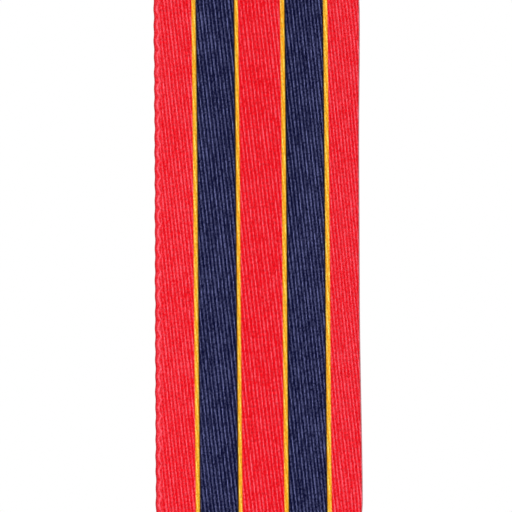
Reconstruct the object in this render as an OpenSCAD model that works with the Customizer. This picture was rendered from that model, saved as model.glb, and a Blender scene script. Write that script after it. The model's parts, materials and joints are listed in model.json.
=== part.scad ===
// Swing-mounted medal: a brooch, a ribbon, a swivelling suspender and a struck disc.
// +X is to the right seen from the front, +Y is to the back and +Z is up.
// The origin is the centre of the brooch bar's back face, which lies against the coat.

/* [Ribbon] */
// Width of the ribbon
ribbon_w = 32; // [24:0.5:32]
// Thickness of the ribbon
ribbon_t = 0.45; // [0.3:0.05:0.55]
// Distance between the two rails that the ribbon hangs on
drop = 98; // [40:1:120]
// Distance from a rail's axis to where the ribbon's two layers meet
neck_l = 4.5; // [4:0.1:6]
// Length of each sewn hem below or above that point
hem_l = 4; // [3:0.1:6]

/* [Stitching] */
// Number of stitches that show on the front of each row
stitch_count = 13; // [6:1:15]
// Length of a stitch that shows on the front
stitch_l = 1.3; // [0.8:0.1:1.4]
// Thickness of the thread
thread_t = 0.22; // [0.15:0.01:0.3]

/* [Brooch] */
// Clear width of the slots that take the ribbon
slot_w = 33; // [32.5:0.1:34]
// Clear height of the slots between a rail and its bar
slot_h = 2.2; // [2:0.1:3]
// Thickness of the metal at each end of a slot
cheek_w = 1.7; // [1.4:0.1:2.5]
// Radius of the round rails
rail_r = 0.9; // [0.8:0.05:1]
// Height of the brooch bar above its slot
plate_h = 8; // [7:0.5:12]
// Thickness of the brooch bar
plate_t = 1.6; // [1.4:0.1:2]
// Width of the raised border on the front of the brooch bar
border_w = 0.9; // [0.6:0.1:1.5]

/* [Pin and catch] */
// Distance of the pin's hinge from the middle of the brooch bar
hinge_x = 13.5; // [12:0.5:14]
// Distance of the pin's axis from the back of the brooch bar
pin_y = 2.4; // [2.3:0.1:3]
// Radius of the pin where it is straight
pin_r = 0.5; // [0.45:0.01:0.55]
// Length of the straight part of the pin
pin_l = 22; // [20:0.5:22]
// Radius of the hinge rivet
rivet_r = 0.5; // [0.4:0.05:0.6]
// Distance of the catch from the middle of the brooch bar
catch_x = 13; // [12.8:0.1:13.2]
// Length of the catch
catch_l = 3.4; // [3:0.1:3.6]
// Outer radius of the catch
catch_r = 1.9; // [1.8:0.05:2]
// Clear width of the slot that the pin enters the catch by
catch_slot_w = 1.3; // [1.1:0.05:1.4]

/* [Suspender] */
// Thickness of the suspender bar
suspender_t = 1.8; // [1.6:0.1:2]
// Height of the suspender bar below its slot
suspender_h = 2.4; // [2:0.1:3]
// Height of the curved shoulders below the bar
shoulder_h = 3.5; // [3:0.1:4]
// Radius of the swivel barrel
barrel_r = 1.9; // [1.7:0.05:2]
// Radius of the swivel rivet
swivel_r = 0.8; // [0.7:0.05:0.9]
// Thickness of the swivel collar
collar_t = 0.5; // [0.4:0.05:0.8]

/* [Disc and claw] */
// Diameter of the disc
disc_d = 36; // [30:0.5:38]
// Thickness of the disc at its rim
disc_t = 3; // [2.5:0.1:3.5]
// Width of the raised rim
rim_w = 1.4; // [1:0.1:2]
// Depth of the field below the rim
field_depth = 0.45; // [0.3:0.05:0.6]
// Radius of the star on the front
star_r = 9; // [7:0.5:10]
// Thickness of each leaf of the claw
claw_t = 0.8; // [0.6:0.1:1]
// Half of the claw's width
claw_half_w = 3.6; // [3:0.1:4]
// Radius of the pin through the claw
claw_pin_r = 0.6; // [0.5:0.05:0.7]

/* [Hidden] */
$fn = 96;

running_gap = 0.05;
wrap_gap = 0.1;
layer_gap = 0.05;
leg_overlap = 0.05;
through = 20;

// Heights of the brooch, the ribbon and the suspender
bar_half_w = slot_w / 2 + cheek_w;
knob_r = rail_r + 0.3;
rail_y = -plate_t / 2;
upper_z = -plate_h / 2 - slot_h - rail_r;
lower_z = upper_z - drop;
stitch_depth = neck_l + hem_l / 2;

// Heights below the lower rail
bar_top = rail_r + slot_h;
bar_bottom = bar_top + suspender_h;
barrel_bottom = bar_bottom + shoulder_h;
collar_top = barrel_bottom + running_gap;
claw_top = collar_top + collar_t;
claw_neck_h = 2.45;
disc_top = claw_top + claw_neck_h;
disc_r = disc_d / 2;

// The claw, counted from the top of the disc
leaf_arc_r = 5;
leaf_z = 0.8;
claw_pin_z = -1.9;
rivet_grip = 1.6;

// The pin, counted along X
ear_t = 0.6;
ear_gap = 2.6;
ear_r = 1.5;
base_t = 0.6;
base_l = 5;
base_h = 4.8;
eye_r = 1.2;
straight_start = -hinge_x + 2;
straight_end = straight_start + pin_l;
taper_l = 6.7;
tip_r = 0.06;
collar_r = pin_r + 0.2;
head_extra_r = 0.35;
head_t = 0.35;

// The catch's rotor
sleeve_r = catch_r - 0.55;
rotor_r = sleeve_r - running_gap;
rotor_bore_r = 0.75;
lip_t = 0.3;
lever_t = 0.8;
lever_w = 0.9;
lever_l = 3;
lever_angle = 75;

// A flat outline drawn as (Y, Z) becomes a solid of the given width along X
module along_x(w) {
    rotate([90, 0, 90]) linear_extrude(height = w, center = true) children();
}

// A flat outline drawn as (X, Z) becomes a solid of the given thickness along Y
module along_y(t) {
    rotate([90, 0, 0]) linear_extrude(height = t, center = true) children();
}

// A round bar from x0 to x1 on the X axis
module rod_x(x0, x1, r) {
    translate([x0, 0, 0]) rotate([0, 90, 0]) cylinder(h = x1 - x0, r = r);
}

// A rectangle with round corners, given by its lower left corner
module rounded_box(x, y, w, h, r) {
    translate([x + r, y]) square([w - 2 * r, h]);
    translate([x, y + r]) square([w, h - 2 * r]);
    for (cx = [x + r, x + w - r], cy = [y + r, y + h - r])
        translate([cx, cy]) circle(r);
}

// The round rail with a knob at each end, and the cheeks that carry it
module rail(cheek_h, t) {
    rod_x(-slot_w / 2, slot_w / 2, rail_r);
    for (side = [-1, 1]) {
        middle = side * (slot_w + cheek_w) / 2;
        rod_x(middle - cheek_w / 2, middle + cheek_w / 2, knob_r);
        translate([middle, 0, cheek_h / 2])
            cube([cheek_w, t, abs(cheek_h)], center = true);
    }
}

// ---------------------------------------------------------------- brooch

module brooch_bar() {
    inner_w = 2 * (bar_half_w - border_w);
    inner_h = plate_h - 2 * border_w;
    panel_depth = 0.2;
    corner_r = 1;
    color("silver") {
        difference() {
            translate([0, rail_y, 0]) along_y(plate_t)
                rounded_box(-bar_half_w, -plate_h / 2, 2 * bar_half_w, plate_h, corner_r);
            translate([0, -plate_t, 0]) along_y(2 * panel_depth)
                rounded_box(-inner_w / 2, -inner_h / 2, inner_w, inner_h, corner_r / 2);
        }
        translate([0, rail_y, upper_z]) rail(bar_top + corner_r, plate_t);
    }
}

module hinge_bracket() {
    color("lightgray") difference() {
        union() {
            translate([-hinge_x, base_t / 2, 0]) cube([base_l, base_t, base_h], center = true);
            for (side = [-1, 1])
                translate([-hinge_x, 0, side * (ear_gap + ear_t) / 2])
                    linear_extrude(height = ear_t, center = true) {
                        translate([-ear_r, base_t / 2]) square([2 * ear_r, pin_y - base_t / 2]);
                        translate([0, pin_y]) circle(ear_r);
                    }
        }
        translate([-hinge_x, pin_y, 0]) cylinder(h = through, r = rivet_r, center = true);
    }
}

module hinge_rivet() {
    half_l = ear_gap / 2 + ear_t;
    color("gray") translate([-hinge_x, pin_y, 0]) {
        cylinder(h = 2 * half_l, r = rivet_r, center = true);
        for (side = [-1, 1])
            translate([0, 0, side * (half_l + head_t / 2)])
                cylinder(h = head_t, r = rivet_r + head_extra_r, center = true);
    }
}

module pin_stem() {
    eye_h = ear_gap - 0.2;
    color("gainsboro") translate([0, pin_y, 0]) difference() {
        union() {
            translate([-hinge_x, 0, 0]) cylinder(h = eye_h, r = eye_r, center = true);
            rod_x(-hinge_x, straight_start, collar_r);
            rod_x(straight_start, straight_end, pin_r);
            translate([straight_end, 0, 0]) rotate([0, 90, 0])
                cylinder(h = taper_l, r1 = pin_r, r2 = tip_r);
        }
        translate([-hinge_x, 0, 0])
            cylinder(h = through, r = rivet_r + running_gap, center = true);
    }
}

// The slot that lets the pin into the catch, open to the back
module catch_slot() {
    translate([catch_x, through / 2, 0]) cube([through, through, catch_slot_w], center = true);
}

module catch_body() {
    x0 = catch_x - catch_l / 2;
    x1 = catch_x + catch_l / 2;
    foot_t = 0.5;
    foot_h = 4.4;
    foot_margin = 0.4;
    post_h = 2.8;
    color("lightgray") difference() {
        union() {
            translate([0, pin_y, 0]) rod_x(x0, x1, catch_r);
            translate([catch_x, pin_y / 4, 0]) cube([catch_l, pin_y / 2, post_h], center = true);
            translate([catch_x, foot_t / 2, 0])
                cube([catch_l + 2 * foot_margin, foot_t, foot_h], center = true);
        }
        translate([0, pin_y, 0]) {
            rod_x(x0 - 1, x1 + 1, sleeve_r);
            catch_slot();
        }
    }
}

module catch_rotor() {
    end_gap = 0.1;
    x0 = catch_x - catch_l / 2 - end_gap;
    x1 = catch_x + catch_l / 2 + end_gap;
    color("silver") translate([0, pin_y, 0]) difference() {
        union() {
            rod_x(x0 - lip_t, x0, rotor_r + lip_t);
            rod_x(x0, x1 + lever_t, rotor_r);
            translate([x1 + lever_t / 2, 0, 0]) rotate([lever_angle, 0, 0]) {
                translate([0, lever_l / 2, 0]) cube([lever_t, lever_l, lever_w], center = true);
                translate([0, lever_l, 0]) rod_x(-lever_t / 2, lever_t / 2, lever_w / 2);
            }
        }
        rod_x(x0 - 1, x1 + 2, rotor_bore_r);
        catch_slot();
    }
}

// ---------------------------------------------------------------- ribbon

// Where the two layers of the ribbon part to go round a rail, as (Y, Z) from the rail's axis
layer_y = (ribbon_t + layer_gap) / 2;
wrap_r = rail_r + wrap_gap + ribbon_t / 2;
neck_d = norm([layer_y, neck_l]);
wrap_end = atan2(-neck_l, layer_y) + acos(wrap_r / neck_d);

// One straight leg of the loop, from just inside the round wrap down to the neck
module loop_leg() {
    radial = [cos(wrap_end), sin(wrap_end)];
    out = radial * ribbon_t / 2;
    start = radial * wrap_r + [-radial[1], radial[0]] * leg_overlap;
    neck = [layer_y, -neck_l];
    polygon([start + out, start - out, neck - out, neck + out]);
    translate(neck) circle(ribbon_t / 2);
}

// The ribbon's loop round a rail at the origin, with its hem behind
module loop_outline() {
    far = 3 * wrap_r;
    open_below = [for (i = [0 : 4])
        let (a = wrap_end - i * (180 + 2 * wrap_end) / 4) [cos(a), sin(a)] * far];
    difference() {
        circle(wrap_r + ribbon_t / 2);
        circle(wrap_r - ribbon_t / 2);
        polygon(concat([[0, 0]], open_below));
    }
    loop_leg();
    mirror([1, 0]) loop_leg();
    translate([layer_y - ribbon_t / 2, -neck_l - hem_l]) square([ribbon_t, hem_l]);
}

module ribbon() {
    color("crimson") translate([0, rail_y, upper_z]) along_x(ribbon_w) {
        loop_outline();
        translate([0, -drop]) mirror([0, 1]) loop_outline();
        translate([-layer_y - ribbon_t / 2, neck_l - drop]) square([ribbon_t, drop - 2 * neck_l]);
    }
}

// One sewn row: dashes on the front, shorter ones behind, and a leg through both layers at each end
module stitch_row() {
    pitch = ribbon_w / (stitch_count + 0.5);
    face_y = layer_y + (ribbon_t + thread_t) / 2;
    first = -(stitch_count - 1) * pitch / 2;
    for (i = [0 : stitch_count - 1]) {
        x = first + i * pitch;
        translate([x, -face_y, 0]) cube([stitch_l, thread_t, thread_t], center = true);
        for (side = [-1, 1])
            translate([x + side * (stitch_l - thread_t) / 2, 0, 0])
                cube([thread_t, 2 * face_y + thread_t, thread_t], center = true);
        if (i < stitch_count - 1)
            translate([x + pitch / 2, face_y, 0])
                cube([pitch - stitch_l + 2 * thread_t, thread_t, thread_t], center = true);
    }
}

module upper_stitching() {
    color("crimson") translate([0, rail_y, upper_z - stitch_depth]) stitch_row();
}

module lower_stitching() {
    color("crimson") translate([0, rail_y, lower_z + stitch_depth]) stitch_row();
}

// ---------------------------------------------------------------- suspender

module suspender_bar() {
    shoulder_x = barrel_r + 0.3 + shoulder_h;
    corner_r = 0.7;
    color("silver") translate([0, rail_y, lower_z]) difference() {
        union() {
            rail(-bar_top - corner_r, suspender_t);
            along_y(suspender_t) {
                rounded_box(-bar_half_w, -bar_bottom, 2 * bar_half_w, suspender_h, corner_r);
                difference() {
                    translate([-shoulder_x, -barrel_bottom])
                        square([2 * shoulder_x, shoulder_h + corner_r]);
                    for (side = [-1, 1])
                        translate([side * shoulder_x, -barrel_bottom]) circle(shoulder_h);
                }
            }
            translate([0, 0, -barrel_bottom])
                cylinder(h = barrel_bottom - bar_top, r = barrel_r);
        }
        translate([0, 0, -barrel_bottom])
            cylinder(h = through, r = swivel_r + running_gap, center = true);
    }
}

module swivel_rivet() {
    head_r = swivel_r + 0.7;
    head_h = 0.5;
    head_z = -bar_top + running_gap;
    color("lightgray") translate([0, rail_y, lower_z]) {
        translate([0, 0, head_z]) cylinder(h = head_h, r = head_r);
        translate([0, 0, -claw_top - rivet_grip])
            cylinder(h = claw_top + rivet_grip + head_z, r = swivel_r);
    }
}

module swivel_collar() {
    color("gainsboro") translate([0, rail_y, lower_z - claw_top]) difference() {
        cylinder(h = collar_t, r = barrel_r);
        cylinder(h = through, r = swivel_r, center = true);
    }
}

// ---------------------------------------------------------------- claw and disc

// The pointed leaf of the claw, as (X, Z) from the top of the disc
module leaf_outline() {
    intersection_for (side = [-1, 1])
        translate([side * (leaf_arc_r - claw_half_w), leaf_z]) circle(leaf_arc_r);
}

module claw() {
    leaf_top = 1.6;
    color("silver") translate([0, rail_y, lower_z - disc_top]) difference() {
        union() {
            along_y(disc_t + 2 * claw_t) intersection() {
                leaf_outline();
                translate([-claw_half_w, -leaf_arc_r]) square([2 * claw_half_w, leaf_arc_r + leaf_top]);
            }
            cylinder(h = claw_neck_h, r = barrel_r);
        }
        translate([0, 0, -disc_r]) rotate([90, 0, 0])
            cylinder(h = disc_t, r = disc_r, center = true);
        translate([0, 0, claw_neck_h - rivet_grip]) cylinder(h = through, r = swivel_r);
        translate([0, 0, claw_pin_z]) rotate([90, 0, 0])
            cylinder(h = through, r = claw_pin_r, center = true);
    }
}

module claw_pin() {
    half_l = disc_t / 2 + claw_t;
    button_t = 0.25;
    button_r = claw_pin_r + 0.3;
    color("lightgray") translate([0, rail_y, lower_z - disc_top + claw_pin_z]) rotate([90, 0, 0]) {
        cylinder(h = 2 * half_l, r = claw_pin_r, center = true);
        for (side = [-1, 1])
            translate([0, 0, side * (half_l + button_t / 2)])
                cylinder(h = button_t, r = button_r, center = true);
    }
}

// A five-pointed star as (X, Z) about the origin
module star_outline(r) {
    points = 5;
    notch_r = 0.45 * r;
    step = 180 / points;
    polygon([for (i = [0 : 2 * points - 1])
        [sin(step * i), cos(step * i)] * (i % 2 == 0 ? r : notch_r)]);
}

// The sunk field inside the rim, with a flat seat left under the claw's leaf
module field_outline() {
    difference() {
        circle(disc_r - rim_w);
        translate([0, disc_r]) leaf_outline();
    }
}

module medal_disc() {
    relief_h = field_depth - 0.05;
    ring_r = 11.5;
    ring_w = 0.6;
    field_y = disc_t / 2 - field_depth;
    color("silver") translate([0, rail_y, lower_z - disc_top - disc_r]) {
        difference() {
            rotate([90, 0, 0]) cylinder(h = disc_t, r = disc_r, center = true);
            for (side = [-1, 1])
                translate([0, side * (field_y + through / 2), 0]) along_y(through) field_outline();
            translate([0, 0, disc_r + claw_pin_z]) rotate([90, 0, 0])
                cylinder(h = through, r = claw_pin_r, center = true);
        }
        translate([0, -field_y, 0]) along_y(2 * relief_h) star_outline(star_r);
        translate([0, field_y, 0]) along_y(2 * relief_h) difference() {
            circle(ring_r);
            circle(ring_r - ring_w);
        }
    }
}

brooch_bar();
hinge_bracket();
hinge_rivet();
pin_stem();
catch_body();
catch_rotor();
ribbon();
upper_stitching();
lower_stitching();
suspender_bar();
swivel_rivet();
swivel_collar();
claw();
claw_pin();
medal_disc();
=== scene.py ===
import json
import math

import bmesh
import bpy
import numpy as np
from mathutils import Matrix, Vector


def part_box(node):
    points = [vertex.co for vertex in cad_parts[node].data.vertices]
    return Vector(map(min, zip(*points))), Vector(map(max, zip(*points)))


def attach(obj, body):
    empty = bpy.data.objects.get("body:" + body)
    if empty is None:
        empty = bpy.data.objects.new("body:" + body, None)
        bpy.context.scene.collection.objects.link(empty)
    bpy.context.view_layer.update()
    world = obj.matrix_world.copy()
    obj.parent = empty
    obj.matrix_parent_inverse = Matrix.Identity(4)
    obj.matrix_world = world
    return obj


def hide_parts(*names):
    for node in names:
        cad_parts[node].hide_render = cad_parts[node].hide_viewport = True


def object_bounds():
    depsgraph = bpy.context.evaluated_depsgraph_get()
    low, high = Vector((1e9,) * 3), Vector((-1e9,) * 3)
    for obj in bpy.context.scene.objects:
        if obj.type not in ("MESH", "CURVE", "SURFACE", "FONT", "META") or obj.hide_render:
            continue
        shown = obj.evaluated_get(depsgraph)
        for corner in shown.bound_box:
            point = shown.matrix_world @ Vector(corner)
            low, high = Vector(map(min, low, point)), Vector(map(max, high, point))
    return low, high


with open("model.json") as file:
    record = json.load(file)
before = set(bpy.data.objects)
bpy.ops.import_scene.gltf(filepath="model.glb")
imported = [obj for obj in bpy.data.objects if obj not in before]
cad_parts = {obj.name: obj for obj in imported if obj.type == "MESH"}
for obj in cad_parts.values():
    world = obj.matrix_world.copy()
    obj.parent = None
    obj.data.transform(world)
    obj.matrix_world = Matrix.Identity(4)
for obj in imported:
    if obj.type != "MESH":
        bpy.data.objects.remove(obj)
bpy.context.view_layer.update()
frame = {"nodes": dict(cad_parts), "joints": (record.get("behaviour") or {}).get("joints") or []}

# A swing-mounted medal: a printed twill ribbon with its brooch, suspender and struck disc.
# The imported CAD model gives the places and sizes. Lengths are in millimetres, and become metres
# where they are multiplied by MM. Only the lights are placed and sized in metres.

MM = 0.001
rng = np.random.default_rng(32)


def joint_place(name):
    """The point that a joint turns about, in millimetres."""
    place = next(j["pos_m"] for j in frame["joints"] if j["name"] == name)
    return Vector(place) / MM


def node_box(name):
    """A CAD node's lowest and highest corners, in millimetres."""
    low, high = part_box(name)
    return low / MM, high / MM


# ------------------------------------------------------------------ meshes


def ease(value, start, end):
    """0 before start, 1 after end, and smooth in between."""
    t = np.clip((value - start) / (end - start), 0, 1)
    return t * t * (3 - 2 * t)


def add_piece(name, mesh, node, body):
    """Puts a mesh in the scene on a CAD body, in place of a CAD node."""
    piece = bpy.data.objects.new(name, mesh)
    bpy.context.scene.collection.objects.link(piece)
    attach(piece, body)
    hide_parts(node)
    return piece


def make_mesh(name, points, faces, look, values=None):
    """A smooth mesh from points in millimetres, with values at the points for its look."""
    mesh = bpy.data.meshes.new(name)
    mesh.from_pydata((np.asarray(points) * MM).tolist(), [], faces)
    mesh.validate()
    mesh.shade_smooth()
    for key, value in (values or {}).items():
        layer = mesh.attributes.new(key, "FLOAT", "POINT")
        layer.data.foreach_set("value", np.asarray(value, np.float32).ravel())
    mesh.materials.append(look)
    return mesh


def ring_faces(rows, count):
    """Quads between neighbouring closed rings of count points."""
    quads = []
    for r in range(rows - 1):
        a = r * count
        b = a + count
        for c in range(count):
            d = (c + 1) % count
            quads.append((a + c, a + d, b + d, b + c))
    return quads


def directions(line):
    """The unit direction at each point of a line."""
    ahead = np.gradient(line, axis=0)
    return ahead / np.linalg.norm(ahead, axis=1)[:, None]


def tube(points, radius, sides):
    """A closed tube along a line of points, as (points, faces)."""
    along = directions(points)
    side = np.cross(along[0], (0.3, 0.5, 0.8))
    rings = []
    angles = np.arange(sides) * 2 * math.pi / sides
    for point, direction in zip(points, along):
        side = side - direction * side.dot(direction)
        side /= np.linalg.norm(side)
        other = np.cross(direction, side)
        circle = np.outer(np.cos(angles), side) + np.outer(np.sin(angles), other)
        rings.append(point + radius * circle)
    faces = ring_faces(len(points), sides)
    last = (len(points) - 1) * sides
    faces.append(tuple(reversed(range(sides))))
    faces.append(tuple(range(last, last + sides)))
    return np.concatenate(rings), faces


WELD_GAP = 0.0005
FLAT_ANGLE = math.radians(1)  # neighbouring faces that turn by less than this become one
SHARP_ANGLE = math.radians(28)  # edges that turn by more than this are rounded off
CREASE_ANGLE = math.radians(40)  # edges that still turn by more than this are shaded sharp


def softened(node, body, look, edge):
    """A copy of a CAD node with its sharp edges rounded off, which stands for the node."""
    name = f"{node}_finished"
    mesh = frame["nodes"][node].data.copy()
    mesh.name = name
    bm = bmesh.new()
    bm.from_mesh(mesh)
    bmesh.ops.remove_doubles(bm, verts=bm.verts, dist=WELD_GAP * MM)
    bmesh.ops.dissolve_limit(bm, angle_limit=FLAT_ANGLE, verts=bm.verts, edges=bm.edges)
    sharp = [e for e in bm.edges if e.is_manifold and e.calc_face_angle(0) > SHARP_ANGLE]
    bmesh.ops.bevel(
        bm, geom=sharp, offset=edge * MM, segments=2, profile=0.6,
        affect="EDGES", clamp_overlap=True, miter_outer="ARC", face_strength_mode="ALL",
    )
    bmesh.ops.triangulate(bm, faces=[f for f in bm.faces if len(f.verts) > 4])
    bm.to_mesh(mesh)
    bm.free()
    mesh.materials.clear()
    mesh.materials.append(look)
    mesh.shade_smooth()
    mesh.set_sharp_from_angle(angle=CREASE_ANGLE)
    piece = add_piece(name, mesh, node, body)
    even = piece.modifiers.new("even_shading", "WEIGHTED_NORMAL")
    even.keep_sharp = True
    even.use_face_influence = True


# ------------------------------------------------------------------ node graphs


def srgb(r, g, b):
    """A linear colour from 0 to 255 screen values."""
    channels = [c / 255 for c in (r, g, b)]
    return tuple(c / 12.92 if c < 0.04045 else ((c + 0.055) / 1.055) ** 2.4 for c in channels) + (1.0,)


class Look:
    """A material and short calls that build its node graph."""

    def __init__(self, name):
        self.material = bpy.data.materials.new(name)
        self.material.use_nodes = True
        self.tree = self.material.node_tree
        self.shader = self.tree.nodes["Principled BSDF"]

    def put(self, socket, value):
        if isinstance(value, bpy.types.NodeSocket):
            self.tree.links.new(value, socket)
        else:
            socket.default_value = value

    def node(self, kind, inputs=None, **settings):
        made = self.tree.nodes.new(kind)
        for key, value in settings.items():
            setattr(made, key, value)
        for key, value in (inputs or {}).items():
            self.put(made.inputs[key], value)
        return made

    def math(self, operation, a, b=0.0, c=0.0):
        return self.node("ShaderNodeMath", {0: a, 1: b, 2: c}, operation=operation).outputs[0]

    def vector(self, x, y, z=0.0):
        return self.node("ShaderNodeCombineXYZ", {0: x, 1: y, 2: z}).outputs[0]

    def value_of(self, attribute):
        return self.node("ShaderNodeAttribute", attribute_name=attribute).outputs["Fac"]

    def fit(self, value, low, high, to_low=0.0, to_high=1.0):
        inputs = {"Value": value, "From Min": low, "From Max": high, "To Min": to_low, "To Max": to_high}
        return self.node("ShaderNodeMapRange", inputs).outputs[0]

    def cosine(self, value, period):
        """A wave from 0 to 1 that repeats with the period and is 1 where the value is 0."""
        angle = self.math("MULTIPLY", value, 2 * math.pi / period)
        return self.fit(self.math("COSINE", angle), -1, 1)

    def blend(self, share, a, b):
        """a where the share is 0 and b where it is 1."""
        return self.math("ADD", a, self.math("MULTIPLY", share, self.math("SUBTRACT", b, a)))

    def ramp(self, value, stops):
        made = self.node("ShaderNodeValToRGB", {"Fac": value})
        elements = made.color_ramp.elements
        while len(elements) < len(stops):
            elements.new(1.0)
        for element, (position, colour) in zip(elements, stops):
            element.position = position
            element.color = colour
        return made.outputs["Color"]

    def mix(self, factor, a, b):
        """The colour a where the factor is 0 and b where it is 1."""
        made = self.node("ShaderNodeMix", data_type="RGBA")
        self.put(made.inputs["Factor"], factor)
        self.put(made.inputs[6], a)
        self.put(made.inputs[7], b)
        return made.outputs[2]

    def place(self, scale=(1, 1, 1), turn=(0, 0, 0)):
        """The point on the piece in millimetres, stretched and turned."""
        coords = self.node("ShaderNodeTexCoord").outputs["Object"]
        scaled = [s / MM for s in scale]
        turned = self.node("ShaderNodeMapping", {"Vector": coords, "Rotation": turn})
        return self.node("ShaderNodeMapping", {"Vector": turned.outputs[0], "Scale": scaled}).outputs[0]

    def noise(self, vector, scale=1.0, detail=2.0, rough=0.5):
        inputs = {"Vector": vector, "Scale": scale, "Detail": detail, "Roughness": rough}
        return self.node("ShaderNodeTexNoise", inputs).outputs[0]

    def random(self, vector):
        """A number from 0 to 1 that is different at every place."""
        return self.node("ShaderNodeTexWhiteNoise", {"Vector": vector}, noise_dimensions="3D").outputs[0]

    def bump(self, height, depth, strength=1.0, normal=None):
        inputs = {"Height": height, "Distance": depth * MM, "Strength": strength}
        if normal is not None:
            inputs["Normal"] = normal
        return self.node("ShaderNodeBump", inputs).outputs[0]

    def finish(self, **sockets):
        for name, value in sockets.items():
            self.put(self.shader.inputs[name.replace("_", " ")], value)
        return self.material


# ------------------------------------------------------------------ ribbon

RED, YELLOW, NAVY = "red", "yellow", "navy"
# Stripes and their widths from the left edge to the right edge
STRIPES = [
    (RED, 6.09), (YELLOW, 0.54), (NAVY, 6.17), (YELLOW, 0.56), (RED, 6.61),
    (YELLOW, 0.57), (NAVY, 6.18), (YELLOW, 0.61), (RED, 4.67),
]
PRINT_DRIFT = 0.0044  # how far the print runs to the right for each unit down the cloth
CLOTH_T = 0.45
LAYER_GAP = 0.05
NECK_L = 4.5  # from a rail's axis to where the two layers meet
HEM_L = 4.0
WRAP_POINTS = 60
FINE_STEP = 0.05
YARN_PITCH = 0.1445  # at the middle of the ribbon; the yarns crowd a little towards the edges
EDGE_CROWDING = 0.048
RIGHT_CROWDING = 0.021
SHED = 1.245  # the length of cloth that one weft takes up
REPEAT = 4  # a yarn floats over three sheds and dips under the fourth
ROWS_PER_SHED = 3
YARN_SLIP = 0.12  # the spread of how far the yarns are out of step, in sheds
BACK_COLUMNS = 56
BACK_SINK = 0.03
BACK_RISE = 0.012
EDGE_N = 0.13  # half the thickness of the section's rounded edges
EDGE_BULGE = 0.06
FLOAT_RISE = 0.045
FACE_SINK = 0.035  # how far a yarn's middle height lies below the cloth's outer face
EDGE_ROUND_W = 0.3
SELVEDGE_W = 1.3  # the looped yarns thin out to nothing at this distance from the left edge
LOOP_PITCH = 2.5
LOOP_WAVE = 0.05  # how far the looped edge goes in and out with each loop
EDGE_WANDER = 0.03
SWAY = 0.035
SWAY_L = 96.0
LOWER_SLACK = 0.34  # how far the right edge hangs out below the middle of the ribbon
UPPER_SLACK = 0.20
SLACK_W = 4.5  # the slack of the right edge fades out over this width
BOW_OUT = 0.10
EDGE_CURL = 0.12
TWIST = 0.07

UPPER_RAIL = joint_place("ribbon_swing")
LOWER_RAIL = joint_place("suspender_swing")
RIBBON_LOW, RIBBON_HIGH = node_box("ribbon")
HALF_W = (RIBBON_HIGH.x - RIBBON_LOW.x) / 2


def loop_points():
    """(y, z) from the end of a hem up round a rail at the origin and down to the front layer."""
    wrap_r = (RIBBON_HIGH.y - RIBBON_LOW.y) / 2 - CLOTH_T / 2
    layer_y = (CLOTH_T + LAYER_GAP) / 2
    reach = math.hypot(layer_y, NECK_L)
    wrap_end = math.atan2(-NECK_L, layer_y) + math.acos(wrap_r / reach)
    points = [(layer_y, -NECK_L - HEM_L), (layer_y, -NECK_L)]
    for angle in np.linspace(wrap_end, math.pi - wrap_end, WRAP_POINTS):
        points.append((wrap_r * math.cos(angle), wrap_r * math.sin(angle)))
    points.append((-layer_y, -NECK_L))
    return np.array(points)


def even_steps(line, step):
    """A line of points, redrawn with points at an even distance of about step."""
    length = np.r_[0, np.cumsum(np.linalg.norm(np.diff(line, axis=0), axis=1))]
    count = int(round(length[-1] / step)) + 1
    at = np.linspace(0, length[-1], count)
    return np.stack([np.interp(at, length, line[:, i]) for i in range(line.shape[1])], 1), at


def smoothed(line, spread):
    """The line with its corners eased, and its two ends kept."""
    reach = 4 * spread
    kernel = np.exp(-0.5 * (np.arange(-reach, reach + 1) / spread) ** 2)
    kernel /= kernel.sum()
    before = 2 * line[0] - line[reach:0:-1]
    after = 2 * line[-1] - line[-2:-reach - 2:-1]
    padded = np.concatenate([before, line, after])
    return np.stack([np.convolve(padded[:, i], kernel, "valid") for i in range(line.shape[1])], 1)


def ribbon_path():
    """(y, z) down the middle of the cloth, and the distance of each point along it."""
    top = loop_points()
    bottom = top[::-1] * (1, -1)
    line = np.concatenate([top + (UPPER_RAIL.y, UPPER_RAIL.z), bottom + (LOWER_RAIL.y, LOWER_RAIL.z)])
    fine, _ = even_steps(line, FINE_STEP)
    return even_steps(smoothed(fine, 5), SHED / ROWS_PER_SHED)


def yarn_places():
    """Where each yarn lies across the ribbon."""
    x = np.linspace(-HALF_W, HALF_W, 4000)
    share = x / HALF_W
    count = x * (1 + EDGE_CROWDING * share ** 2 + RIGHT_CROWDING * share) / YARN_PITCH
    first = math.ceil(count[0] + 0.5)
    last = math.floor(count[-1] - 0.5)
    numbers = np.arange(first, last + 1)
    return numbers, np.interp(numbers, count, x)


def weave(yarn, shed, slip):
    """How high each yarn stands at each row, from -0.4 in a dip to 1 on a float.

    A yarn floats over three sheds and dips under the fourth, one shed later on each next yarn,
    so that the floats line up in steep ribs."""
    turn = np.mod(shed[:, None] - yarn[None, :] + slip[None, :], REPEAT)
    over = REPEAT - 1
    arch = np.sin(np.pi * np.clip(turn / over, 0, 1)) ** 0.7
    dip = np.sin(np.pi * np.clip(turn - over, 0, 1))
    return arch - 0.4 * dip


def selvedge_loops(x, along):
    """Height of the looped yarns that bind the left edge, and how far they cover each point."""
    inward = (x + HALF_W) / SELVEDGE_W
    cover = np.clip(1.4 - 1.4 * inward, 0, 1)
    turn = along[:, None] / LOOP_PITCH - 0.55 * np.sqrt(np.clip(inward, 0, 1))[None, :]
    ridge = 0.5 + 0.5 * np.cos(2 * np.pi * turn)
    return ridge ** 2, np.broadcast_to(cover, ridge.shape)


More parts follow.
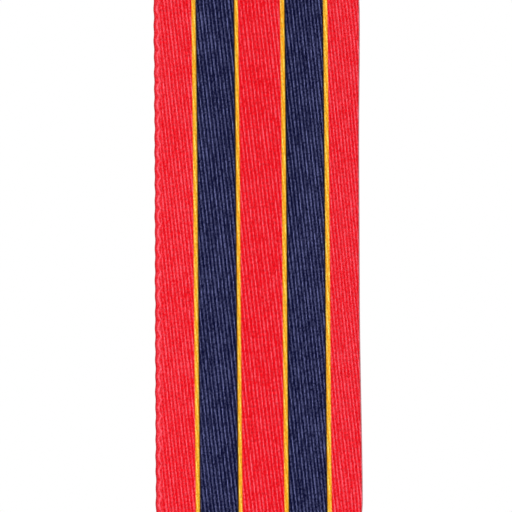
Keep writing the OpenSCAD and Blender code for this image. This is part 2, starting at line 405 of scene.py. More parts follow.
def face_columns(yarn, face_x, along, slip):
    """How far the face stands from the middle of the cloth, and how far the loops cover it."""
    loops, cover = selvedge_loops(face_x, along)
    height = weave(yarn, along / SHED, slip) * (1 - cover) + cover * (1.2 * loops - 0.2)
    into_edge = ((np.abs(face_x) - HALF_W + EDGE_ROUND_W) / (EDGE_ROUND_W + 0.04)).clip(0, 1)
    rounding = np.sqrt(np.clip(1 - into_edge ** 2, 0.04, 1))
    return (CLOTH_T / 2 - FACE_SINK + FLOAT_RISE * height) * rounding, cover


def back_columns(along):
    """(x, height) of the back, from the right edge to the left, with shallow slanting ribs."""
    x = np.linspace(HALF_W - 0.04, -HALF_W + 0.04, BACK_COLUMNS)
    ribs = np.sin(2 * np.pi * (along[:, None] / SHED * 0.75 + np.arange(BACK_COLUMNS) / 2.5))
    height = -(CLOTH_T / 2 - BACK_SINK) + BACK_RISE * ribs
    height[:, [0, -1]] = -EDGE_N
    return x, height


def swayed(x, along):
    """x with the looped edge's waves, a slight sway, and the slack of the right edge."""
    wave = LOOP_WAVE * np.cos(2 * np.pi * along / LOOP_PITCH)
    wave += EDGE_WANDER * np.sin(along * 0.9 + 1) * np.sin(along * 0.23)
    sway = SWAY * np.cos(2 * np.pi * (along + 17) / SWAY_L)
    slack = LOWER_SLACK * ease(along, 6, 38) + UPPER_SLACK * ease(-along, 16, 38)
    slack *= 1 - ease(np.abs(along), 38, 44)
    near_left = np.exp(-((x + HALF_W).clip(0, None) / 0.5) ** 2)
    near_right = ease(x, HALF_W - SLACK_W, HALF_W)
    return x + wave[:, None] * near_left + sway[:, None] + slack[:, None] * near_right


def drape(x, along):
    """How far the free part of the ribbon bows out of the flat."""
    free = ease(along.max() - np.abs(along), 22, 40)
    share = x / HALF_W
    bowed = BOW_OUT * np.sin(along / 9 + 0.6)[:, None] - EDGE_CURL * share ** 4
    twisted = TWIST * share * np.sin(along / 13 - 1)[:, None]
    return (bowed + twisted) * free[:, None]


def build_ribbon(look):
    """The cloth as closed rings round its section, one ring for each step along it."""
    path, distance = ribbon_path()
    along = distance - distance[-1] / 2
    ahead = directions(path)
    outward = np.stack([ahead[:, 1], -ahead[:, 0]], 1)
    ones = np.ones((len(along), 1))

    # Round the section: a column for each yarn of the face, the right edge, the back, the left edge
    yarn, face_x = yarn_places()
    slip = rng.normal(0, YARN_SLIP, yarn.size)
    face_n, cover = face_columns(yarn, face_x, along, slip)
    back_x, back_n = back_columns(along)
    edge_turn = np.radians([25, -25])
    right_x = HALF_W + EDGE_BULGE * np.cos(edge_turn)
    right_n = EDGE_N * np.sin(edge_turn)
    x = ones * np.r_[face_x, right_x, back_x, -right_x[::-1]]
    n = np.concatenate([face_n, ones * right_n, back_n, ones * right_n[::-1]], 1)
    edge_side = np.full(edge_turn.size, 0.5)
    side = ones * np.r_[np.ones(face_x.size), edge_side, np.zeros(BACK_COLUMNS), edge_side]
    count = x.shape[1]

    n = n + drape(x, along)
    y = path[:, 0:1] + outward[:, 0:1] * n
    z = path[:, 1:2] + outward[:, 1:2] * n
    points = np.stack([swayed(x, along), y, z], 2).reshape(-1, 3)
    faces = [tuple(reversed(quad)) for quad in ring_faces(len(along), count)]
    faces.append(tuple(range(count)))
    last = (len(along) - 1) * count
    faces.append(tuple(reversed(range(last, last + count))))

    values = {
        "across": x + HALF_W,
        "along": np.broadcast_to(along[:, None], x.shape),
        "yarn": np.interp(x, face_x, yarn),
        "slip": np.interp(x, face_x, slip),
        "bound": np.concatenate([cover, np.zeros((len(along), count - face_x.size))], 1),
        "face_side": side,
        "bare": np.clip((x - HALF_W + 0.16) / 0.12, 0, 1),
    }
    mesh = make_mesh("ribbon_cloth", points, faces, look, values)
    return add_piece("ribbon_cloth", mesh, "ribbon", "ribbon"), distance[-1]


# ------------------------------------------------------------------ ribbon's look

# Screen colours of each ink with painted light: a painted highlight where a float catches the light, and
# painted shade where it dips
INKS_PAINTED_HIGHLIGHT = {RED: (255, 99, 115), YELLOW: (255, 236, 108), NAVY: (102, 106, 156)}
INKS_PAINTED_SHADE = {RED: (224, 2, 18), YELLOW: (238, 164, 28), NAVY: (0, 2, 42)}
# The seams' colours, likewise with a painted highlight and painted shade
SEAMS_PAINTED_HIGHLIGHT = {RED: (255, 128, 62), NAVY: (58, 46, 48)}
SEAMS_PAINTED_SHADE = {RED: (212, 60, 22), NAVY: (14, 8, 12)}
SEAM_CLEARANCE = {RED: 0.11, YELLOW: 0.04, NAVY: 0.30}  # how far each ink stops short of a seam
DARK_LINE = (0.06, 0.20)  # where the dark line starts and ends, measured into the navy
BARE_THREAD = (226, 168, 174)
EDGE_SHADE = (150, 22, 30)
BACK_HAZE = (236, 214, 214)
HAZE_SHARE = 0.11  # how much paler the back is, where the ink has only struck through
INK_GAIN = 0.9


def ink(colour):
    """A dye's linear colour. The cloth takes back a little of the light."""
    r, g, b, a = srgb(*colour)
    return (r * INK_GAIN, g * INK_GAIN, b * INK_GAIN, a)


def stripe_stops(inks, seams):
    """Colour ramp stops across the ribbon: flat stripes with a thin seam between neighbours.

    Red and yellow run into each other, and a dark line lies between yellow and navy."""
    total = sum(width for _, width in STRIPES)
    stops = []
    x = 0.0
    for number, (name, width) in enumerate(STRIPES):
        before = STRIPES[number - 1][0] if number else None
        after = STRIPES[number + 1][0] if number + 1 < len(STRIPES) else None
        own = SEAM_CLEARANCE[name]
        stops.append((x + (own if before else 0.0), ink(inks[name])))
        stops.append((x + width - (own if after else 0.0), ink(inks[name])))
        x += width
        if NAVY in (name, after):
            towards_navy = 1 if after == NAVY else -1
            line = sorted(x + towards_navy * reach for reach in DARK_LINE)
            stops += [(place, ink(seams[NAVY])) for place in line]
        elif after:
            stops.append((x, ink(seams[RED])))
    return [(place / total, colour) for place, colour in stops]


def painted_float_light(look, yarn, shed, slip):
    """How much painted light each float gets, from 0, painted shade in a dip, to 1, a painted highlight
    on a bright float.

    It follows the same weave as the mesh does, with a painted glint of its own strength for each float."""
    number = look.math("ROUND", yarn)
    phase = look.math("ADD", look.math("SUBTRACT", shed, number), slip)
    turn = look.math("FLOORED_MODULO", phase, REPEAT)
    each_float = look.vector(number, look.math("FLOOR", look.math("DIVIDE", phase, REPEAT)))
    each_spot = look.vector(number, look.math("FLOOR", phase), 7.0)
    float_glint_strength = look.math("ADD", look.random(each_float), look.random(each_spot))
    swell = look.cosine(look.math("SUBTRACT", turn, 1.5), REPEAT)
    over_weft = look.cosine(look.math("SUBTRACT", turn, 0.5), 1.0)
    within = look.math("SUBTRACT", yarn, number)
    streak = look.vector(look.math("MULTIPLY", number, 1.37), look.math("MULTIPLY", shed, 5.0))
    glints = look.noise(streak, detail=3, rough=0.7)
    # Painted highlight swelling over each float, painted glints of random strength, and painted shade
    # between the wefts and at the sides of each yarn
    shine = look.math("POWER", look.fit(swell, 0.2, 0.95), 2.2)
    shares = [
        look.fit(float_glint_strength, 0.2, 1.8, 0.25, 1.25),
        look.fit(over_weft, 0, 1, 0.7, 1.0),
        look.fit(glints, 0.3, 0.7, 0.2, 1.75),
        look.fit(look.math("ABSOLUTE", within), 0.15, 0.5, 1.0, 0.55),
    ]
    for share in shares:
        shine = look.math("MULTIPLY", shine, share)
    return shine


def painted_loop_light(look, across, along):
    """The painted light on the looped edge: a painted highlight along one uneven arc for each loop,
    bowed towards the edge, and painted shade between the arcs.
    """
    loops = look.math("DIVIDE", along, LOOP_PITCH)
    turn = look.math("SUBTRACT", look.math("FRACT", loops), 0.5)
    bowed = look.math("MULTIPLY_ADD", look.math("MULTIPLY", turn, turn), 1.6, 0.48)
    off = look.math("ABSOLUTE", look.math("SUBTRACT", across, bowed))
    arc = look.fit(off, 0.03, 0.20, 0.95, 0.16)
    uneven = look.noise(look.place(), scale=1.9, rough=0.7)
    return look.math("MULTIPLY", arc, look.fit(uneven, 0.32, 0.68, 0.45, 1.55))


def painted_cloth_light(look, across, along, yarn, fibres):
    """The painted highlights and painted shade of the floats and loops, with the unevenness of fibres
    and patches, a little darker in the middle and brighter towards the edges.
    """
    floats = painted_float_light(look, yarn, look.math("DIVIDE", along, SHED), look.value_of("slip"))
    shine = look.blend(look.value_of("bound"), floats, painted_loop_light(look, across, along))
    patches = look.noise(look.place(), scale=0.35)
    fuzz = look.noise(look.place(), scale=3.4, detail=1)
    off_middle = look.math("ABSOLUTE", look.math("SUBTRACT", across, HALF_W))
    changes = [
        look.fit(fibres, 0.3, 0.7, -0.28, 0.28),
        look.fit(patches, 0.3, 0.7, -0.04, 0.04),
        look.fit(fuzz, 0.3, 0.7, -0.13, 0.13),
        look.fit(off_middle, 2, 13, -0.04, 0.03),
    ]
    for change in changes:
        shine = look.math("ADD", shine, change)
    return shine


def print_colour(look, across, along, fibres, shine):
    """The printed stripes, with painted shade in the dips and a painted highlight on the floats.

    The print runs slightly askew on the cloth, and the fibres make its edges ragged."""
    askew = look.math("MULTIPLY", along, PRINT_DRIFT)
    ragged = look.fit(fibres, 0.2, 0.8, -0.05, 0.05)
    printed = look.math("SUBTRACT", look.math("SUBTRACT", across, askew), ragged)
    total = sum(width for _, width in STRIPES)
    position = look.math("DIVIDE", printed, total)
    dim = look.ramp(position, stripe_stops(INKS_PAINTED_SHADE, SEAMS_PAINTED_SHADE))
    bright = look.ramp(position, stripe_stops(INKS_PAINTED_HIGHLIGHT, SEAMS_PAINTED_HIGHLIGHT))
    return look.mix(look.fit(shine, 0.0, 1.0), dim, bright)


def ribbon_look():
    look = Look("printed_twill_painted_light")
    across = look.value_of("across")
    along = look.value_of("along")
    yarn = look.value_of("yarn")

    # Fine fibres run along each yarn, with painted shade in the small gaps between them
    streak = look.vector(look.math("MULTIPLY", yarn, 1.6), look.math("MULTIPLY", along, 1.5))
    fibres = look.noise(streak, scale=1.5, detail=4, rough=0.7)
    shine = painted_cloth_light(look, across, along, yarn, fibres)
    colour = print_colour(look, across, along, fibres, shine)
    # Painted shade between the fibres and painted light on them: the colour is scaled from 0.76 to 1.2
    # times
    between = look.vector(look.math("MULTIPLY", yarn, 0.8), look.math("MULTIPLY", along, 2.4), 5.0)
    grain = look.fit(look.noise(between, rough=0.6), 0.32, 0.68, 0.76, 1.20)
    colour = look.node("ShaderNodeVectorMath", {0: colour, "Scale": grain}, operation="SCALE").outputs[0]

    # The back is paler, the right edge is bare thread, and the left edge is shaded
    colour = look.mix(look.value_of("face_side"), look.mix(HAZE_SHARE, colour, ink(BACK_HAZE)), colour)
    colour = look.mix(look.value_of("bare"), colour, ink(BARE_THREAD))
    colour = look.mix(look.fit(across, 0.04, 0.30, 0.75, 0.0), colour, ink(EDGE_SHADE))

    # Each yarn is round, and stands apart from its neighbours
    within = look.math("SUBTRACT", yarn, look.math("ROUND", yarn))
    crown = look.math("SUBTRACT", 1.0, look.math("MULTIPLY", look.math("MULTIPLY", within, within), 4.0))
    normal = look.bump(crown, 0.02, 0.6)
    normal = look.bump(fibres, 0.012, 0.5, normal)
    rough = look.fit(shine, 0.0, 1.0, 0.72, 0.48)
    return look.finish(Base_Color=colour, Roughness=rough, Normal=normal, Specular_IOR_Level=0.05)


# ------------------------------------------------------------------ stitching

STITCHES = 13
STITCH_L = 1.3
THREAD_R = 0.075
THREAD_STEP = 0.04
PLY_OFFSET = 0.05  # how far each of the two plies lies from the thread's middle
PLY_TWIST_L = 0.55
PLY_SIDES = 6
THREAD_END = 0.12  # how far inside the row's ends the thread stops
HOLE_INSET = 0.03  # how far inside a stitch's ends the thread goes through the cloth
FLAT_INSET = 0.10  # how far from a stitch's ends the thread lies flat
STITCH_BULGE = 0.05
STITCH_LEAN = 0.05


def stitch_line(node):
    """The middle of one running thread, from the left of the row to the right."""
    low, high = node_box(node)
    middle_y = (low.y + high.y) / 2
    face_y = (high.y - low.y) / 2 - THREAD_R
    z = (low.z + high.z) / 2
    pitch = (high.x - low.x - STITCH_L) / (STITCHES - 1)
    half = STITCH_L / 2
    keys = [(low.x + THREAD_END, face_y), (low.x + 0.45, face_y)]
    for number in range(STITCHES):
        x = low.x + half + number * pitch
        start = x - half
        end = x + half
        lean = rng.normal(0, STITCH_LEAN)
        keys += [
            (start + HOLE_INSET, 0.0), (start + FLAT_INSET, -face_y),
            (x + lean, -face_y - STITCH_BULGE),
            (end - FLAT_INSET, -face_y), (end - HOLE_INSET, 0.0),
        ]
        if number < STITCHES - 1:
            keys += [
                (end + FLAT_INSET, face_y), (x + pitch / 2, face_y + 0.03),
                (start + pitch - FLAT_INSET, face_y),
            ]
    keys.append((high.x - THREAD_END, face_y))
    line = np.array([(x, middle_y + y, z) for x, y in keys])
    fine, _ = even_steps(line, THREAD_STEP)
    eased = smoothed(fine, 2)
    eased[:, 2] += 0.05 * np.sin(eased[:, 0] * 1.7 + z) + 0.03 * np.sin(eased[:, 0] * 5.3)
    return eased


def build_stitching(node, look):
    """Two plies twisted round each other along the stitch line."""
    name = f"{node}_thread"
    line = stitch_line(node)
    distance = np.r_[0, np.cumsum(np.linalg.norm(np.diff(line, axis=0), axis=1))]
    ahead = directions(line)
    side = np.cross(ahead, (0, 0, 1.0))
    side /= np.linalg.norm(side, axis=1)[:, None]
    up = np.cross(side, ahead)
    points = []
    faces = []
    for start_angle in (0, np.pi):
        angle = 2 * np.pi * distance / PLY_TWIST_L + start_angle
        offset = PLY_OFFSET * (np.cos(angle)[:, None] * side + np.sin(angle)[:, None] * up)
        ply_points, ply_faces = tube(line + offset, THREAD_R, PLY_SIDES)
        start = sum(len(ply) for ply in points)
        points.append(ply_points)
        faces += [tuple(start + corner for corner in face) for face in ply_faces]
    mesh = make_mesh(name, np.concatenate(points), faces, look)
    return add_piece(name, mesh, node, "ribbon")


def thread_look():
    look = Look("twisted_thread")
    fuzz = look.noise(look.place(), scale=9, detail=3)
    colour = look.mix(look.fit(fuzz, 0.3, 0.7), ink((176, 16, 30)), ink((238, 62, 72)))
    return look.finish(
        Base_Color=colour, Roughness=0.55, Normal=look.bump(fuzz, 0.02, 0.7),
        Specular_IOR_Level=0.35, Sheen_Weight=0.2,
    )


# ------------------------------------------------------------------ metal


def metal_look(name, bright, dull, roughness, brushing=(1, 1, 1)):
    """Polished metal with cloudy handling marks, a brushed grain and fine scratches."""
    look = Look(name)
    clouds = look.noise(look.place(), scale=0.45, detail=4, rough=0.6)
    grain = look.noise(look.place(brushing), scale=3.0, detail=3)
    one_way = look.noise(look.place((0.25, 6, 6), (0.3, 0.5, 0.4)), scale=2.2, detail=1)
    other_way = look.noise(look.place((5, 6, 0.2), (0.2, -0.6, -0.3)), scale=2.0, detail=1)
    marks = look.math("ADD", look.fit(one_way, 0.66, 0.72), look.fit(other_way, 0.67, 0.73))
    colour = look.mix(look.fit(clouds, 0.35, 0.68), srgb(*bright), srgb(*dull))
    rough = look.fit(clouds, 0.3, 0.7, *roughness)
    rough = look.math("ADD", rough, look.fit(grain, 0.3, 0.7, -0.04, 0.05))
    rough = look.math("ADD", rough, look.math("MULTIPLY", marks, 0.05))
    normal = look.bump(grain, 0.003, 0.3)
    normal = look.bump(marks, -0.006, 0.08, normal)
    return look.finish(Base_Color=colour, Metallic=1.0, Roughness=rough, Normal=normal)


# ------------------------------------------------------------------ disc

DISC_LOW, DISC_HIGH = node_box("medal_disc")
DISC_R = (DISC_HIGH.x - DISC_LOW.x) / 2
DISC_T = DISC_HIGH.y - DISC_LOW.y
DISC_CENTRE = (DISC_LOW + DISC_HIGH) / 2
RIM_W = 1.4
FIELD_DEPTH = 0.45
EDGE_ROUND = 0.16
EDGE_DROP = 0.03
SPOKES = 480
RELIEF_R = 16.2  # the rings of points lie close together inside this radius
FRONT_RINGS = 97
BACK_RINGS = 73
RIM_RINGS = 9
BACK_RIM_RINGS = 6
BEADS = 144
BEAD_R = 0.30
BEAD_INSET = 0.55  # how far inside the rim the beads lie
# The claw's leaf, with the sizes that the CAD model gives it
CLAW_LEAF_R = 5.0
CLAW_HALF_W = 3.6
CLAW_LEAF_Z = 0.8

# The front's star, rays and wreath
STAR_R = 8.2
STAR_NOTCH_R = 3.5
RAYS = 60
RAYS_R = 8.9
LINE_RING_R = 9.6
LINE_RING_W = 0.16
WREATH_R = 12.55

# The back's ring, sprig and small star
BACK_RING_R = 11.2
BACK_RING_W = 0.3
SPRIG_R = 7.4
SMALL_STAR_R = 3.0
SMALL_STAR_NOTCH_R = 1.25
SMALL_STAR_Z = 4.4


def star_height(x, z, reach, notch, points=5):
    """A faceted star: 1 at its middle, 0 on its outline, with a ridge along each arm."""
    step = math.pi / points
    angle = np.mod(np.arctan2(x, z), 2 * step)
    angle = np.minimum(angle, 2 * step - angle)
    r = np.hypot(x, z)
    tip = np.array([reach, 0.0])
    dent = notch * np.array([math.cos(step), math.sin(step)])
    along = dent - tip
    across = np.array([-along[1], along[0]])
    edge = across.dot(tip)
    return 1 - (r * np.cos(angle) * across[0] + r * np.sin(angle) * across[1]) / edge


def leaf_height(x, z, root, angle, length, width):
    """One laurel leaf that grows from its root: crowned, pointed, with a sunk rib."""
    dx = x - root[0]
    dz = z - root[1]
    along = (dx * math.sin(angle) + dz * math.cos(angle)) / length
    across = dx * math.cos(angle) - dz * math.sin(angle)
    inside = (along > 0) & (along < 1)
    share = np.clip(along, 0, 1)
    half = width / 2 * np.sin(np.pi * share ** 0.8) ** 0.8 + 1e-6
    crown = np.clip(1 - (across / half) ** 2, 0, 1) ** 0.6
    rib = 0.35 * np.exp(-((across / 0.09) ** 2)) * ease(along, 0.02, 0.2)
    return np.where(inside, crown * (0.7 + 0.3 * np.sin(np.pi * share)) - rib * (crown > 0), 0)


def bead_height(x, z, at, radius):
    """A round bead."""
    d = ((x - at[0]) ** 2 + (z - at[1]) ** 2) / radius ** 2
    return np.sqrt(np.clip(1 - d, 0, 1))


def laurel(x, z, ring_r, leaves, length, width, start, end, berries=True):
    """Two branches that rise from the bottom, one on each side."""
    height = np.zeros_like(x)
    for side in (-1, 1):
        turn = np.arctan2(side * x, -z)
        stem = np.exp(-(((np.hypot(x, z) - ring_r) / 0.22) ** 2)) * ease(turn, 0.02, 0.06)
        height = np.maximum(height, 0.6 * stem * (1 - ease(turn, end, end + 0.1)))
        for number, t in enumerate(np.linspace(start, end, leaves)):
            size = 1 - 0.25 * number / leaves
            root = (side * ring_r * math.sin(t), -ring_r * math.cos(t))
            forward = side * (math.pi / 2 - t)
            for lean in (-0.55, 0.55):
                leaf = leaf_height(x, z, root, forward + lean, length * size, width * size)
                height = np.maximum(height, leaf)
            if berries and number % 2:
                for berry_r in (ring_r - 1.55, ring_r + 1.55):
                    at = (side * berry_r * math.sin(t + 0.07), -berry_r * math.cos(t + 0.07))
                    height = np.maximum(height, 0.8 * bead_height(x, z, at, 0.33))
    return height


def bow(x, z, ring_r):
    """A ribbon tied in a bow where the two branches meet."""
    height = np.zeros_like(x)
    for side in (-1, 1):
        root = (side * 0.15, -ring_r)
        loop = leaf_height(x, z, root, side * math.radians(72), 2.5, 1.5)
        hollow = leaf_height(x, z, (side * 0.9, -ring_r + 0.2), side * math.radians(72), 1.3, 0.6)
        tail = leaf_height(x, z, root, side * math.radians(142), 2.9, 0.95)
        height = np.maximum(height, np.maximum(0.8 * loop - 0.5 * hollow, 0.65 * tail))
    return np.maximum(height, bead_height(x, (z + ring_r) * 0.85, (0, 0), 0.62))


def rim_height(r):
    """The raised rim: 0 on the field and 1 on the rim."""
    return ease(r, DISC_R - RIM_W - 0.25, DISC_R - RIM_W + 0.15)


def under_claw(x, z):
    """1 where the disc keeps its full thickness for the claw to grip, and 0 outside."""
    offset = CLAW_LEAF_R - CLAW_HALF_W
    reach = [np.hypot(x - side * offset, z - DISC_R - CLAW_LEAF_Z) for side in (-1, 1)]
    return 1 - ease(np.maximum(*reach), CLAW_LEAF_R - 0.02, CLAW_LEAF_R + 0.22)


def dressed(height, x, z, r):
    """Adds the beads, the rim and the claw's seat to a face's relief."""
    spacing = 2 * math.pi / BEADS
    ring_r = DISC_R - RIM_W - BEAD_INSET
    off = (np.mod(np.arctan2(x, z), spacing) - spacing / 2) * ring_r
    bead = np.sqrt(np.clip(1 - (off ** 2 + (r - ring_r) ** 2) / BEAD_R ** 2, 0, 1))
    height = np.maximum(height, 0.6 * bead)
    height = np.maximum(height, rim_height(r))
    return np.maximum(height, under_claw(x, z))


def front_relief(x, z):
    """Height above the field of the struck front, as a share of the rim's height."""
    r = np.hypot(x, z)
    rays = 0.10 * (0.5 + 0.5 * np.cos(RAYS * np.arctan2(x, z)))
    height = rays * ease(r, 2.0, 6.0) * (1 - ease(r, RAYS_R, RAYS_R + 0.4))
    height = np.maximum(height, 0.30 * np.exp(-(((r - LINE_RING_R) / LINE_RING_W) ** 2)))
    star = star_height(x, z, STAR_R, STAR_NOTCH_R)
    height = np.maximum(height, np.where(star > 0, 0.18 + 0.85 * star.clip(0, None) ** 0.9, 0))
    wreath = laurel(x, z, WREATH_R, leaves=12, length=3.1, width=1.25, start=0.30, end=2.50)
    height = np.maximum(height, 0.85 * wreath)
    height = np.maximum(height, bow(x, z, WREATH_R))
    return dressed(height, x, z, r)


def back_relief(x, z):
    """The plain back: a ring round an open field, with a small star above a laurel sprig."""
    r = np.hypot(x, z)
    height = 0.75 * np.exp(-(((r - BACK_RING_R) / BACK_RING_W) ** 4))
    sprig = laurel(x, z, SPRIG_R, leaves=6, length=2.7, width=1.35, start=0.32, end=1.35, berries=False)
    height = np.maximum(height, 0.8 * sprig)
    height = np.maximum(height, 0.8 * bow(x, z, SPRIG_R))
    star = star_height(x, z - SMALL_STAR_Z, SMALL_STAR_R, SMALL_STAR_NOTCH_R)
    height = np.maximum(height, np.where(star > 0, 0.15 + 0.6 * star, 0))
    return dressed(height, x, z, r)


def hollows(height):
    """How far each point lies below the average of what is round it."""
    blurred = height.copy()
    for _ in range(6):
        turned = (np.roll(blurred, 2, 1) + np.roll(blurred, -2, 1)) / 2
        padded = np.pad(blurred, ((1, 1), (0, 0)), mode="edge")
        moved = (padded[2:] + padded[:-2]) / 2
        blurred = (blurred + turned + moved) / 3
    return blurred - height


def face_rings(relief, inner_count, rim_count, outward):
    """A struck face's points and tones, in rings from its middle out to the rounded edge."""
    inner = np.linspace(0, RELIEF_R, inner_count + 1)[1:]
    outer = np.linspace(RELIEF_R + 0.15, DISC_R - EDGE_ROUND, rim_count)
    angles = np.arange(SPOKES) * 2 * math.pi / SPOKES
    r, angle = np.meshgrid(np.r_[inner, outer], angles, indexing="ij")
    x = r * np.sin(angle)
    z = r * np.cos(angle)
    height = relief(x, z)
    y = DISC_T / 2 - FIELD_DEPTH * (1 - height)
    y -= EDGE_DROP * ease(r, DISC_R - 0.5, DISC_R - EDGE_ROUND)
    tone = hollows(height) + 0.175 * (1 - height)
    return np.stack([x, outward * y, z], 2), tone


def edge_rings():
    """The rings of points round the disc's edge, from the front to the back."""
    angles = np.arange(SPOKES) * 2 * math.pi / SPOKES
    rounded = []
    for turn in np.radians([20, 45, 70]):
        r = DISC_R - EDGE_ROUND + EDGE_ROUND * math.sin(turn)
        rounded.append((r, DISC_T / 2 - EDGE_DROP - EDGE_ROUND * (1 - math.cos(turn))))
    section = [(r, -y) for r, y in rounded]
    section += [(DISC_R, -DISC_T / 6), (DISC_R, DISC_T / 6)]
    section += reversed(rounded)
    return np.array([
        np.stack([r * np.sin(angles), np.full(SPOKES, y), r * np.cos(angles)], 1) for r, y in section
    ])


def build_disc(look):
    """The front's rings, the edge's and the back's in one skin, closed at both middles."""
    front, front_tone = face_rings(front_relief, FRONT_RINGS, RIM_RINGS, -1)
    back, back_tone = face_rings(back_relief, BACK_RINGS, BACK_RIM_RINGS, 1)
    edge = edge_rings()
    rings = np.concatenate([front, edge, back[::-1]])
    tones = np.concatenate([front_tone, np.zeros(edge.shape[:2]), back_tone[::-1]])
    middles = [front[0].mean(0), back[0].mean(0)]
    points = np.concatenate([rings.reshape(-1, 3), middles]) + np.array(DISC_CENTRE)
    faces = ring_faces(len(rings), SPOKES)
    front_middle = len(rings) * SPOKES
    back_middle = front_middle + 1
    last = (len(rings) - 1) * SPOKES
    for spoke in range(SPOKES):
        following = (spoke + 1) % SPOKES
        faces.append((front_middle, following, spoke))
        faces.append((back_middle, last + spoke, last + following))
    mesh = make_mesh("struck_disc", points, faces, look, {"tone": np.r_[tones.ravel(), 0, 0]})
    return add_piece("struck_disc", mesh, "medal_disc", "medal")


def disc_look():
    look = Look("struck_metal")
    tone = look.value_of("tone")
    clouds = look.noise(look.place(), scale=0.3, detail=4, rough=0.6)
    fine = look.noise(look.place(), scale=7.0, detail=3)
    one_way = look.noise(look.place((0.2, 5, 6), (0.3, 0.5, 0.4)), scale=1.8, detail=1)
    marks = look.fit(one_way, 0.68, 0.74)
    worn = look.math("ADD", tone, look.fit(clouds, 0.3, 0.7, -0.08, 0.10))
    colour = look.mix(look.fit(worn, 0.02, 0.42), srgb(206, 203, 195), srgb(104, 98, 88))
    rough = look.fit(worn, 0.0, 0.4, 0.20, 0.44)
    rough = look.math("ADD", rough, look.math("MULTIPLY", marks, 0.15))
    normal = look.bump(fine, 0.006, 0.35)
    normal = look.bump(marks, -0.006, 0.3, normal)
    return look.finish(Base_Color=colour, Metallic=1.0, Roughness=rough, Normal=normal)


# ------------------------------------------------------------------ the pieces

ribbon, ribbon_length = build_ribbon(ribbon_look())
thread = thread_look()
stitching = [build_stitching(node, thread) for node in ("upper_stitching", "lower_stitching")]

silver = metal_look("silvered_bar", (203, 200, 192), (176, 172, 162), (0.17, 0.30), (0.4, 4, 4))
nickel = metal_look("tumbled_nickel", (188, 185, 176), (156, 152, 142), (0.27, 0.42))
plated = metal_look("bright_plate", (214, 213, 209), (192, 191, 186), (0.12, 0.22))
turned = metal_look("turned_nickel", (194, 190, 181), (162, 158, 148), (0.22, 0.36), (4, 4, 0.4))
steel = metal_look("drawn_steel", (196, 198, 201), (166, 168, 172), (0.16, 0.26), (0.3, 6, 6))

softened("brooch_bar", "brooch", silver, edge=0.14)
softened("hinge_bracket", "brooch", nickel, edge=0.07)
softened("hinge_rivet", "brooch", turned, edge=0.1)
softened("pin_stem", "pin", steel, edge=0.06)
softened("catch_body", "brooch", nickel, edge=0.07)
softened("catch_rotor", "catch", plated, edge=0.05)
softened("suspender_bar", "suspender", silver, edge=0.14)
softened("swivel_rivet", "medal", turned, edge=0.14)
softened("swivel_collar", "medal", turned, edge=0.08)
softened("claw", "medal", silver, edge=0.14)
softened("claw_pin", "medal", turned, edge=0.1)
build_disc(disc_look())

# ------------------------------------------------------------------ floor, light and camera

FLOOR_R = 450.0
FLOOR_DROP = 12.0  # from the lowest point of the medal down to the floor
FRAME_H = 80.2  # the height of ribbon that the camera takes in
LENS = 120.0
SENSOR = 36.0
RIBBON_TILT = 0.29  # degrees that the ribbon leans in the picture
SIDE_SHIFT = -0.19  # how far the camera stands to the side of the ribbon's middle
LIT_POINT = Vector((0, 0, -0.06))  # where every light points, in metres
ROOM_GREYS = [(0.0, 0.30), (0.46, 0.34), (0.50, 0.14), (0.62, 0.18), (0.80, 0.52), (1.0, 0.70)]
ROOM_STRENGTH = 0.87


def floor_look():
    """Pale grey that fades out towards the floor's edge."""
    look = Look("pale_floor")
    look.finish(Base_Color=srgb(196, 196, 195), Roughness=0.8)
    reach = look.node("ShaderNodeVectorMath", {0: look.place()}, operation="LENGTH").outputs["Value"]
    fade = look.node("ShaderNodeMapRange", {
        "Value": reach, "From Min": 0.4 * FLOOR_R, "From Max": 0.98 * FLOOR_R,
    }, interpolation_type="SMOOTHSTEP").outputs[0]
    clear = look.node("ShaderNodeBsdfTransparent").outputs[0]
    both = look.node("ShaderNodeMixShader", {0: fade, 1: look.shader.outputs[0], 2: clear}).outputs[0]
    look.put(look.tree.nodes["Material Output"].inputs["Surface"], both)
    return look.material


def build_floor():
    low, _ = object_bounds()
    bm = bmesh.new()
    bmesh.ops.create_circle(bm, cap_ends=True, segments=96, radius=FLOOR_R * MM)
    mesh = bpy.data.meshes.new("floor")
    bm.to_mesh(mesh)
    bm.free()
    mesh.materials.append(floor_look())
    floor = bpy.data.objects.new("floor", mesh)
    floor.location = (0, 0, low.z - FLOOR_DROP * MM)
    bpy.context.scene.collection.objects.link(floor)


def add_softbox(name, place, size, power):
    light = bpy.data.lights.new(name, "AREA")
    light.shape = "RECTANGLE"
    light.size, light.size_y = size
    light.energy = power
    lamp = bpy.data.objects.new(name, light)
    lamp.location = place
    lamp.rotation_euler = (LIT_POINT - Vector(place)).to_track_quat("-Z", "Y").to_euler()
    bpy.context.scene.collection.objects.link(lamp)


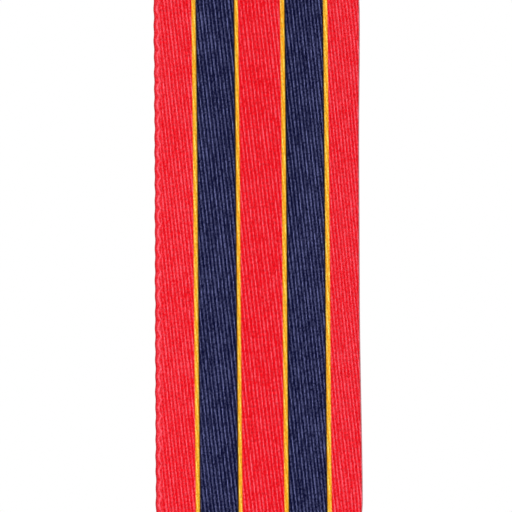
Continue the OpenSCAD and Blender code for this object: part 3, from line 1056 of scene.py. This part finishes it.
def build_world():
    """White to the camera, and a grey room, darkest at eye height, for light and reflections."""
    world = bpy.data.worlds.new("studio")
    bpy.context.scene.world = world
    world.use_nodes = True
    nodes = world.node_tree.nodes
    link = world.node_tree.links.new
    nodes.clear()
    direction = nodes.new("ShaderNodeTexCoord").outputs["Generated"]
    split = nodes.new("ShaderNodeSeparateXYZ")
    upward = nodes.new("ShaderNodeMath")
    upward.operation = "MULTIPLY_ADD"
    upward.inputs[1].default_value = 0.5
    upward.inputs[2].default_value = 0.5
    ramp = nodes.new("ShaderNodeValToRGB")
    elements = ramp.color_ramp.elements
    while len(elements) < len(ROOM_GREYS):
        elements.new(1.0)
    for element, (position, grey) in zip(elements, ROOM_GREYS):
        element.position = position
        element.color = (grey, grey, grey, 1)
    room = nodes.new("ShaderNodeBackground")
    room.inputs["Strength"].default_value = ROOM_STRENGTH
    white = nodes.new("ShaderNodeBackground")
    white.inputs["Color"].default_value = (1, 1, 1, 1)
    seen = nodes.new("ShaderNodeLightPath").outputs["Is Camera Ray"]
    both = nodes.new("ShaderNodeMixShader")
    link(direction, split.inputs[0])
    link(split.outputs["Z"], upward.inputs[0])
    link(upward.outputs[0], ramp.inputs[0])
    link(ramp.outputs[0], room.inputs["Color"])
    link(seen, both.inputs[0])
    link(room.outputs[0], both.inputs[1])
    link(white.outputs[0], both.inputs[2])
    link(both.outputs[0], nodes.new("ShaderNodeOutputWorld").inputs["Surface"])


def build_camera():
    middle_z = (UPPER_RAIL.z + LOWER_RAIL.z) / 2 * MM
    front_y = (UPPER_RAIL.y - (CLOTH_T + LAYER_GAP) / 2 - CLOTH_T / 2) * MM
    distance = FRAME_H * MM * LENS / SENSOR
    data = bpy.data.cameras.new("camera")
    data.lens = LENS
    data.sensor_width = SENSOR
    camera = bpy.data.objects.new("camera", data)
    roll = Matrix.Rotation(math.radians(RIBBON_TILT), 4, "Y")
    camera.matrix_world = (
        Matrix.Translation((SIDE_SHIFT * MM, front_y - distance, middle_z))
        @ roll @ Matrix.Rotation(math.pi / 2, 4, "X")
    )
    bpy.context.scene.collection.objects.link(camera)
    bpy.context.scene.camera = camera


build_floor()
build_world()
add_softbox("key_left", (-0.75, -0.75, 0.25), size=(1.1, 1.1), power=15)
add_softbox("fill_right", (0.9, -0.6, 0.1), size=(0.8, 1.2), power=3.2)
add_softbox("top", (0.0, 0.1, 0.8), size=(0.9, 0.9), power=6.2)
add_softbox("behind", (-0.5, 0.9, 0.3), size=(0.9, 0.9), power=7.5)
bpy.context.scene.view_settings.view_transform = "Standard"
build_camera()
